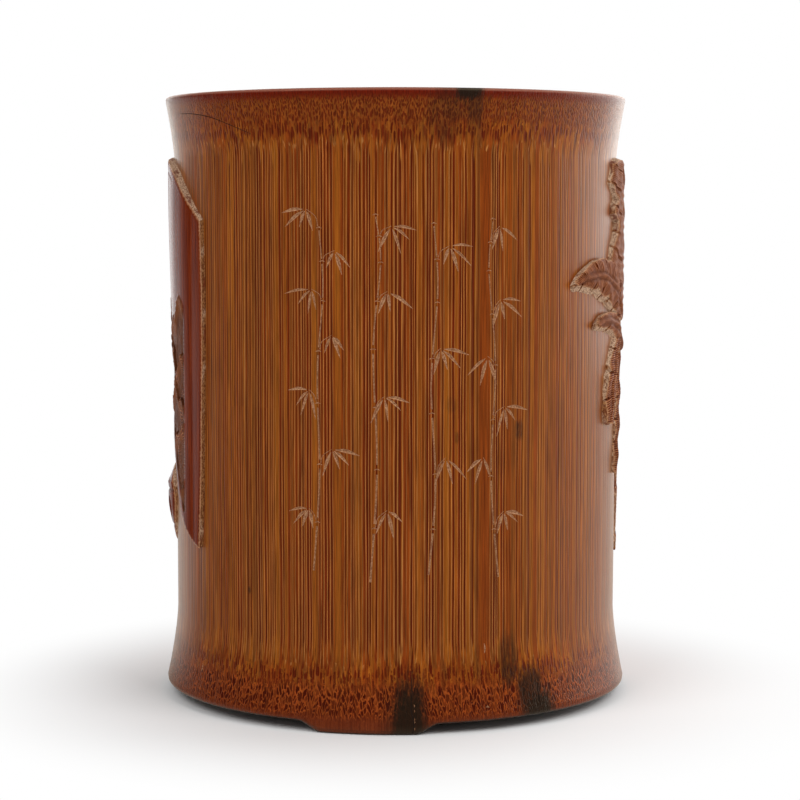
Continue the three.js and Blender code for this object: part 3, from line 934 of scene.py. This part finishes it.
def bamboo_ground(n, arc, out, z, streak):
    """The scraped bamboo: fibre lines on the straight wall, dashes and dots where the flares cut them."""
    wander = n.noise((arc * 0.35, z * 0.03), 1.0)
    arc_here = arc + wander * 0.5
    row = bundle_rows(n, arc, out, z) + 0.22
    warped = (n.noise((arc * 1.3, z * 0.9), 2.0) - 0.5) * n.ramp(out, 0.2, 1.2)
    big, big_border, big_random = bundles(n, arc_here + warped * 0.7, row + warped * 2.2, 0.72)
    small, _, small_random = bundles(n, arc_here, row * 1.6, 0.5, 0.85)
    _, comb_border, comb_random = bundles(n, arc_here + warped * 0.9, row * 0.8 + warped, 0.86, 1.0)
    reach = out + (wander - 0.5) * 0.6
    rim_side = n.math("GREATER_THAN", z, MIDDLE)
    rim_dots = n.ramp(reach, 0.75, 1.15) * rim_side
    comb = n.ramp(reach, 0.9, 1.5) * (1.0 - rim_side)
    # Each line runs out in a point, at a height of its own.
    narrowed = n.most(n.ramp(z - big_random[0] * 7.0, 131.5, 135.0),
                      n.ramp(z - big_random[1] * 7.0, 16.5, 13.0))
    lines = n.ramp(big + narrowed * 0.3, 0.34, 0.14) * n.ramp(big_random[2], 0.0, 0.6, 0.6, 1.0)
    dashes = n.ramp(big, 0.42, 0.26) * n.ramp(big_random[2], 0.0, 0.5, 0.6, 0.95)
    # The flares begin unevenly round the pot.
    near_flare = n.most(n.ramp(z, 127.0, 137.0), n.ramp(z, 29.0, 19.0))
    early = near_flare * n.ramp(n.noise((arc * 1.4, 7.0), 2.0), 0.3, 0.7, -0.3, 0.3)
    flared = out - n.ramp(z, MIDDLE + 1.0, MIDDLE - 1.0, 0.0, 0.2) + early
    core = n.blend(n.ramp(flared, 0.12, 0.4), lines, dashes)
    core = n.blend(rim_dots, core, n.ramp(small, 0.46, 0.3) * 0.85)
    holes = n.ramp(comb_border, 0.04, 0.2) * n.ramp(comb_random[2], 0.1, 0.5, 0.6, 1.0)
    core = n.blend(comb, core, holes)
    tone = n.blend(rim_dots, big_random[0], small_random[0])
    body = n.mix(n.ramp(tone, 0.15, 0.6), (154, 84, 20), (137, 59, 10))
    body = n.mix(n.ramp(tone, 0.7, 0.9, 0.0, 0.7), body, (126, 74, 28))
    broad = n.noise((arc * 0.17, z * 0.008, out), 1.0)
    medium = n.noise((arc * 0.8, z * 0.012, out), 1.0)
    body = n.mix(n.ramp(broad, 0.4, 0.6, 0.0, 0.25), body, (112, 54, 12))
    body = n.mix(n.ramp(medium, 0.48, 0.62, 0.0, 0.25), body, (120, 44, 8))
    body = n.mix(rim_dots * 0.6, body, (134, 64, 18))
    body = n.mix(comb * 0.7, body, (164, 74, 26))
    # Thin pale lines run between some bundles of the straight wall.
    chance = n.ramp(big_random[1], 0.25, 0.5) * n.ramp(flared, 0.3, 0.05)
    body = n.mix(n.ramp(big_border, 0.15, 0.05) * chance * 0.8, body, (180, 120, 62))
    ground = n.mix(core, body, n.mix(comb, (92, 18, 2), (66, 10, 1)))
    ground = n.mix(n.ramp(streak, 0.43, 0.33) * 0.5, ground, (98, 28, 4))
    fine = n.noise((arc * 4.6, z * 0.1, out), 2.0)
    shade = n.ramp(streak, 0.3, 0.7, 0.84, 1.14) * n.ramp(fine, 0.3, 0.7, 0.74, 1.22)
    shade_colour = n.get("ShaderNodeCombineColor", {0: shade, 1: shade, 2: shade})
    ground = n.mix(1.0, ground, shade_colour, "MULTIPLY")
    # The foot is redder and darker than the rest.
    foot = n.ramp(z + wander * 5.0, 15.0, 8.0)
    return n.mix(foot * 0.26, ground, (92, 20, 2)), core


def facing_up(n, kind="True Normal"):
    return n.parts(n.get("ShaderNodeNewGeometry", {}, kind))[2]


def skin_bands(n, base, out, z, streak):
    """The polished skin left at the rim and the foot, the bore, and the cut top and underside, with a
    painted highlight along the lip and painted shade on faces that point down.
    """
    ragged = streak - 0.5
    outside = n.ramp(out, 0.7, 1.4)
    top_band = n.ramp(z + ragged * 2.5, 146.8, 148.8) * outside
    low_band = n.ramp(z + ragged * 2.0, 5.0, 3.0)
    rim_skin = n.mix(n.ramp(streak, 0.35, 0.7), (90, 14, 2), (118, 28, 4))
    foot_skin = n.mix(n.ramp(streak, 0.35, 0.7), (98, 36, 14), (120, 50, 22))
    base = n.mix(top_band, base, rim_skin)
    # Painted highlight: a pale pinkish line along the top of the outside, where the rounded lip catches
    # light from above.
    base = n.mix(n.ramp(z, 149.1, 149.7, 0.0, 0.55) * outside, base, (176, 112, 92))
    base = n.mix(low_band * 0.85, base, foot_skin)
    upward = facing_up(n)
    base = n.mix(n.ramp(upward, 0.6, 0.9) * 0.35, base, (110, 46, 14))
    inside = n.ramp(out, -2.0, -6.0) * 0.45 * n.ramp(upward, 0.9, 0.6)
    base = n.mix(inside, base, n.mix(n.ramp(streak, 0.3, 0.7), (110, 62, 28), (146, 96, 52)))
    # Painted shade: faces that point down are darkened towards a dark brown.
    return n.mix(n.ramp(upward, -0.15, -0.6, 0.0, 0.85), base, (44, 20, 10))


# Old damp stains: angle, height, half width in degrees, half height in mm, and depth.
STAINS = ((17.2, 150.5, 4.4, 4.8, 0.96), (18.6, 148.5, 2.6, 9.5, 0.6), (13.5, 147.0, 5.0, 6.0, 0.4),
          (11.5, 143.0, 4.6, 7.5, 0.35), (3.2, 0.0, 5.1, 16.0, 0.95), (2.4, 0.0, 6.6, 14.5, 0.4),
          (36.2, 1.5, 5.4, 9.5, 0.95), (34.0, 8.0, 4.6, 7.5, 0.85), (28.4, 16.4, 3.3, 7.4, 0.75),
          (31.4, 70.5, 1.6, 2.8, 0.8), (30.6, 66.0, 1.0, 5.5, 0.35), (14.9, 69.3, 0.7, 1.7, 0.5),
          (-38.6, 31.8, 0.6, 1.0, 0.7), (13.5, 77.0, 1.8, 2.2, 0.3))


def stains(n, base, arc, out, z, angle):
    """Damp that crept up and down the fibres: soft at its sides, and in wisps at its ends."""
    wisps = n.noise((arc * 1.6, z * 0.14, 3.0), 3.0)
    mottle = n.noise((arc * 2.2, z * 0.9, 5.0), 3.0)
    uneven = wisps * 0.9 + mottle * 0.6 - 0.75
    dark = 0.0
    for at_angle, at_height, half_angle, half_height, depth in STAINS:
        across = abs((angle - at_angle) / half_angle)
        along = abs((z - at_height) / half_height)
        reach = (across ** 2.8 + along ** 2.8) ** 0.357
        spread = reach + uneven * (along + 0.3)
        dark = n.most(dark, n.ramp(spread, 1.1, 0.5, 0.0, depth))
    # It reaches a few mm over the cut top and fades out before the bore.
    reached = n.ramp(out + uneven * 5.0, -2.5, 1.5)
    return n.mix(dark * reached, base, (34, 24, 17))


def bamboo_material():
    """The culm: scraped ground, bands of skin, and stains, with a soft gloss from handling."""
    n = Material("scraped_bamboo")
    arc, out, z, angle = wall_place(n)
    streak = n.noise((arc * 3.1, z * 0.04, out * 3.0), 3.0)
    ground, core = bamboo_ground(n, arc, out, z, streak)
    base = skin_bands(n, ground, out, z, streak)
    return n.finished({
        "Base Color": stains(n, base, arc, out, z, angle),
        "Roughness": 0.3,
        "Specular IOR Level": 0.22,
        "Specular Tint": (1.0, 0.92, 0.6, 1.0),
        "Sheen Weight": 0.32,
        "Sheen Roughness": 0.3,
        "Sheen Tint": (1.0, 0.85, 0.55, 1.0),
        "Normal": n.bump(streak * 0.8 - core, 0.00003),
    })


def carved_skin_material():
    """The polished skin that is left on the carving."""
    n = Material("carved_skin")
    arc, out, z, _ = wall_place(n)
    # The carving stores at its points where its fine lines run, the wear and painted highlight of its
    # edges, and its patina.
    stored = n.get("ShaderNodeAttribute", {}, "Vector", attribute_name="carving", attribute_type="GEOMETRY")
    lines, wear_and_glint, patina = n.parts(stored)
    streak = n.noise((arc * 2.2, z * 0.05, out), 3.0)
    cloud = n.noise((arc * 0.25, z * 0.25, out), 3.0)
    grain = n.noise((arc, z * 0.8, out), 3.0, 2.0)
    smooth_skin = n.mix(n.ramp(streak, 0.3, 0.7), (88, 22, 2), (126, 46, 8))
    carved_skin = n.mix(n.ramp(cloud, 0.35, 0.65), (118, 48, 20), (146, 72, 32))
    veined = n.ramp(abs(lines), 0.05, 0.3)
    base = n.mix(veined, smooth_skin, carved_skin)
    wave = n.math("SINE", lines * (2.0 * math.pi / VEIN_PITCH))
    base = n.mix(n.ramp(wave, 0.1, 0.9) * veined * 0.6, base, (200, 140, 96))
    base = n.mix(n.ramp(wave, -0.2, -0.9) * veined * 0.8, base, (74, 18, 5))
    base = n.mix(patina * n.ramp(grain, 0.25, 0.7, 0.35, 0.8), base, (76, 30, 12))
    # Wear and painted highlight: the edges of the carving are painted pale.
    base = n.mix((wear_and_glint - 1.0) * n.ramp(grain, 0.3, 0.55, 0.25, 1.0), base, (198, 146, 106))
    return n.finished({
        "Base Color": base,
        "Roughness": n.blend(n.most(veined, patina), 0.26, 0.55),
        "Specular IOR Level": 0.1,
        "Specular Tint": (1.0, 0.72, 0.48, 1.0),
        "Normal": n.bump(wave * veined + grain * 0.8, 0.00006),
    })


def raw_cut_material():
    """The fibrous sides of the carving, where the knife went through the wall."""
    n = Material("raw_cut")
    arc, out, z, _ = wall_place(n)
    fibres = n.noise((arc * 3.2, z * 1.8, out * 3.2), 4.0)
    patches = n.noise((arc * 0.3, z * 0.22, out * 0.5), 3.0)
    red = n.noise((arc * 0.34, z * 0.2, out * 0.6 + 9.0), 3.0)
    pale = n.mix(n.ramp(fibres, 0.36, 0.62), (138, 98, 72), (212, 178, 148))
    brown = n.mix(n.ramp(fibres, 0.36, 0.66), (108, 54, 24), (168, 116, 70))
    # Cuts that face up or down stay pale, and upright ones turn brown in patches.
    upright = n.ramp(abs(facing_up(n, "Normal")), 0.45, 0.1)
    base = n.mix(upright * n.ramp(patches, 0.38, 0.5, 0.35, 1.0), pale, brown)
    base = n.mix(n.ramp(red, 0.55, 0.66, 0.0, 0.8), base, (108, 40, 14))
    return n.finished({"Base Color": base, "Roughness": 0.75, "Specular IOR Level": 0.15,
                       "Normal": n.bump(fibres, 0.00015)})


def incised_material():
    """The floor of the incised lines, pale where it cuts the ground."""
    n = Material("incised")
    arc, out, z, _ = wall_place(n)
    grain = n.noise((arc, z, out), 3.0, 2.4)
    base = n.mix(n.ramp(grain, 0.35, 0.7), (150, 100, 66), (196, 150, 112))
    return n.finished({"Base Color": base, "Roughness": 0.75, "Specular IOR Level": 0.2,
                       "Normal": n.bump(grain, 0.00005)})


def crack_material():
    n = Material("crack")
    arc, out, z, _ = wall_place(n)
    base = n.mix(n.noise((arc, z, out), 2.0, 3.0), (24, 12, 6), (60, 34, 16))
    return n.finished({"Base Color": base, "Roughness": 0.9})


def floor_wood_material():
    """Planed hardwood with its grain across the pot."""
    n = Material("floor_wood")
    stretched = n.get("ShaderNodeMapping", {"Vector": object_place(n), "Scale": (0.10, 1.0, 1.0)})
    grain = n.noise(stretched, 6.0, 900.0)
    rings = n.noise(stretched, 3.0, 160.0)
    base = n.mix(n.ramp(grain, 0.3, 0.7), (74, 42, 24), (118, 74, 44))
    base = n.mix(n.ramp(rings, 0.4, 0.6, 0.0, 0.5), base, (88, 48, 26))
    return n.finished({"Base Color": base, "Roughness": 0.55, "Normal": n.bump(grain, 0.0001)})


def lacquer_material():
    n = Material("lacquer")
    cloud = n.noise(object_place(n), 3.0, 300.0)
    base = n.mix(n.ramp(cloud, 0.3, 0.7), (26, 14, 10), (52, 28, 18))
    return n.finished({"Base Color": base, "Roughness": 0.3, "Normal": n.bump(cloud, 0.0003)})


# The studio.

def place_camera():
    data = bpy.data.cameras.new("camera")
    data.lens = LENS
    data.sensor_width = 36.0
    data.clip_start = 0.01
    camera = bpy.data.objects.new("camera", data)
    camera.location = CAMERA_PLACE
    camera.rotation_euler = (math.radians(90.0 - CAMERA_DIP), 0.0, 0.0)
    bpy.context.scene.collection.objects.link(camera)
    bpy.context.scene.camera = camera


def area_light(name, location, size, power):
    """A lamp that faces the middle of the pot."""
    data = bpy.data.lights.new(name, "AREA")
    data.shape = "RECTANGLE"
    data.size, data.size_y = size
    data.energy = power
    lamp = bpy.data.objects.new(name, data)
    lamp.location = location
    towards = Vector((0.0, 0.0, MIDDLE * MM)) - Vector(location)
    lamp.rotation_euler = towards.to_track_quat("-Z", "Y").to_euler()
    bpy.context.scene.collection.objects.link(lamp)


def studio_floor():
    """A white floor that shows the pot's shadow near it and is plain white further off."""
    n = Material("studio_white")
    place = object_place(n)
    distance = n.get("ShaderNodeVectorMath", {0: place}, "Value", operation="LENGTH")
    camera_ray, glossy_ray = n.rays()
    far = n.ramp(distance, 0.060, 0.12) * camera_ray
    near = n.ramp(distance, 0.056, 0.070) * glossy_ray
    mirrored = n.ramp(n.dot(place, BACKDROP_DIRECTION), -0.05, 0.05, 0.05, 1.0)
    strength = n.blend(glossy_ray, 1.0, mirrored)
    white = n.get("ShaderNodeEmission", {"Color": WHITE, "Strength": strength})
    plain = Socket(n, n.shader.outputs[0])
    shown = n.get("ShaderNodeMixShader", {0: n.most(far, near), 1: plain, 2: white})
    n.give(n.tree.nodes["Material Output"], {"Surface": shown})
    material = n.finished({"Base Color": (0.95, 0.95, 0.95, 1.0), "Roughness": 0.9,
                           "Specular IOR Level": 0.0})
    corners = [(x * FLOOR_REACH, y * FLOOR_REACH, 0.0) for x, y in ((-1, -1), (1, -1), (1, 1), (-1, 1))]
    make_object("studio_floor", corners, [(0, 1, 2, 3)], [material])


def studio_world():
    """White for the camera, and for reflections where the white backdrop hangs; dimmer as a light."""
    world = bpy.data.worlds.new("studio")
    world.use_nodes = True
    world.cycles.sampling_method = "NONE"
    bpy.context.scene.world = world
    n = Nodes(world.node_tree)
    direction = n.get("ShaderNodeTexCoord", {}, "Generated")
    backdrop = n.ramp(n.dot(direction, BACKDROP_DIRECTION), 0.25, 0.55, 0.03, 1.0, "LINEAR")
    ceiling = n.ramp(n.parts(direction)[2], 0.55, 0.85, 0.0, 1.0, "LINEAR")
    camera_ray, glossy_ray = n.rays()
    strength = n.blend(camera_ray, n.blend(glossy_ray, WORLD_LIGHT, n.most(backdrop, ceiling)), 1.0)
    n.give(n.tree.nodes["Background"], {"Strength": strength, "Color": WHITE})


def studio():
    studio_floor()
    studio_world()
    area_light("left_key", (-0.7, -0.8, 1.05), (0.8, 0.8), 6.5)
    area_light("right_key", (0.75, -0.7, 1.05), (0.8, 0.8), 7.0)
    area_light("right_wall", (0.85, 0.6, 0.45), (1.3, 0.9), 6.5)
    area_light("back_wall", (0.0, 1.3, 0.45), (1.6, 0.9), 6.0)
    bpy.context.scene.view_settings.view_transform = "Standard"


# Building.

def drop_flat_leftovers(mesh):
    """Deletes faces that a join left back to back, on the same corners."""
    whole = bmesh.new()
    whole.from_mesh(mesh)
    by_corners = {}
    for face in whole.faces:
        by_corners.setdefault(frozenset(face.verts), []).append(face)
    doubled = [face for faces in by_corners.values() if len(faces) > 1 for face in faces]
    bmesh.ops.delete(whole, geom=doubled, context="FACES")
    whole.to_mesh(mesh)
    whole.free()


def fill_carving(mesh):
    """Gives the points that the joins made the stored values of their neighbours."""
    attribute = mesh.attributes["carving"]
    values = np.zeros(len(mesh.vertices) * 3, np.float32)
    attribute.data.foreach_get("vector", values)
    values = values.reshape(-1, 3)
    # The second value is 1 or more at every point that the carving itself made.
    known = values[:, 1] > 0.5
    for polygon in mesh.polygons:
        corners = list(polygon.vertices)
        given = [values[corner] for corner in corners if known[corner]]
        if polygon.material_index == 0 or not given:
            continue
        for corner in corners:
            if not known[corner]:
                values[corner] = np.mean(given, axis=0)
    attribute.data.foreach_set("vector", values.ravel())


def carved_culm():
    """The culm, joined with the carving and cut by the incised lines and the cracks."""
    bamboo = bamboo_material()
    carved = [carved_skin_material(), raw_cut_material()]
    culm = culm_blank([bamboo])
    back, low, *front_leaves = leaves()
    uprights, levels, *more = furniture()
    groups = [[screen(), stool(), trunk(), rock()] + uprights, [back, low] + levels]
    groups += more + [[each] for each in front_leaves]
    for group in groups:
        combine(culm, as_one(group, carved), "UNION")
    incised = incised_material()
    for index, layer in enumerate(bamboo_spray()):
        combine(culm, wedges(f"incised_{index}", layer, incised), "DIFFERENCE")
    combine(culm, wedges("hairlines", hairlines(), crack_material()), "DIFFERENCE")
    mesh = culm.data
    drop_flat_leftovers(mesh)
    fill_carving(mesh)
    mesh.polygons.foreach_set("use_smooth", [True] * len(mesh.polygons))
    mesh.set_sharp_from_angle(angle=math.radians(38.0))
    return culm


place_camera()
studio()

culm = carved_culm()
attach(culm, "root")
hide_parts("culm_wall")

for node, material in (("floor_board", floor_wood_material()), ("floor_seam", lacquer_material())):
    bpy.data.objects[node].material_slots[0].material = material
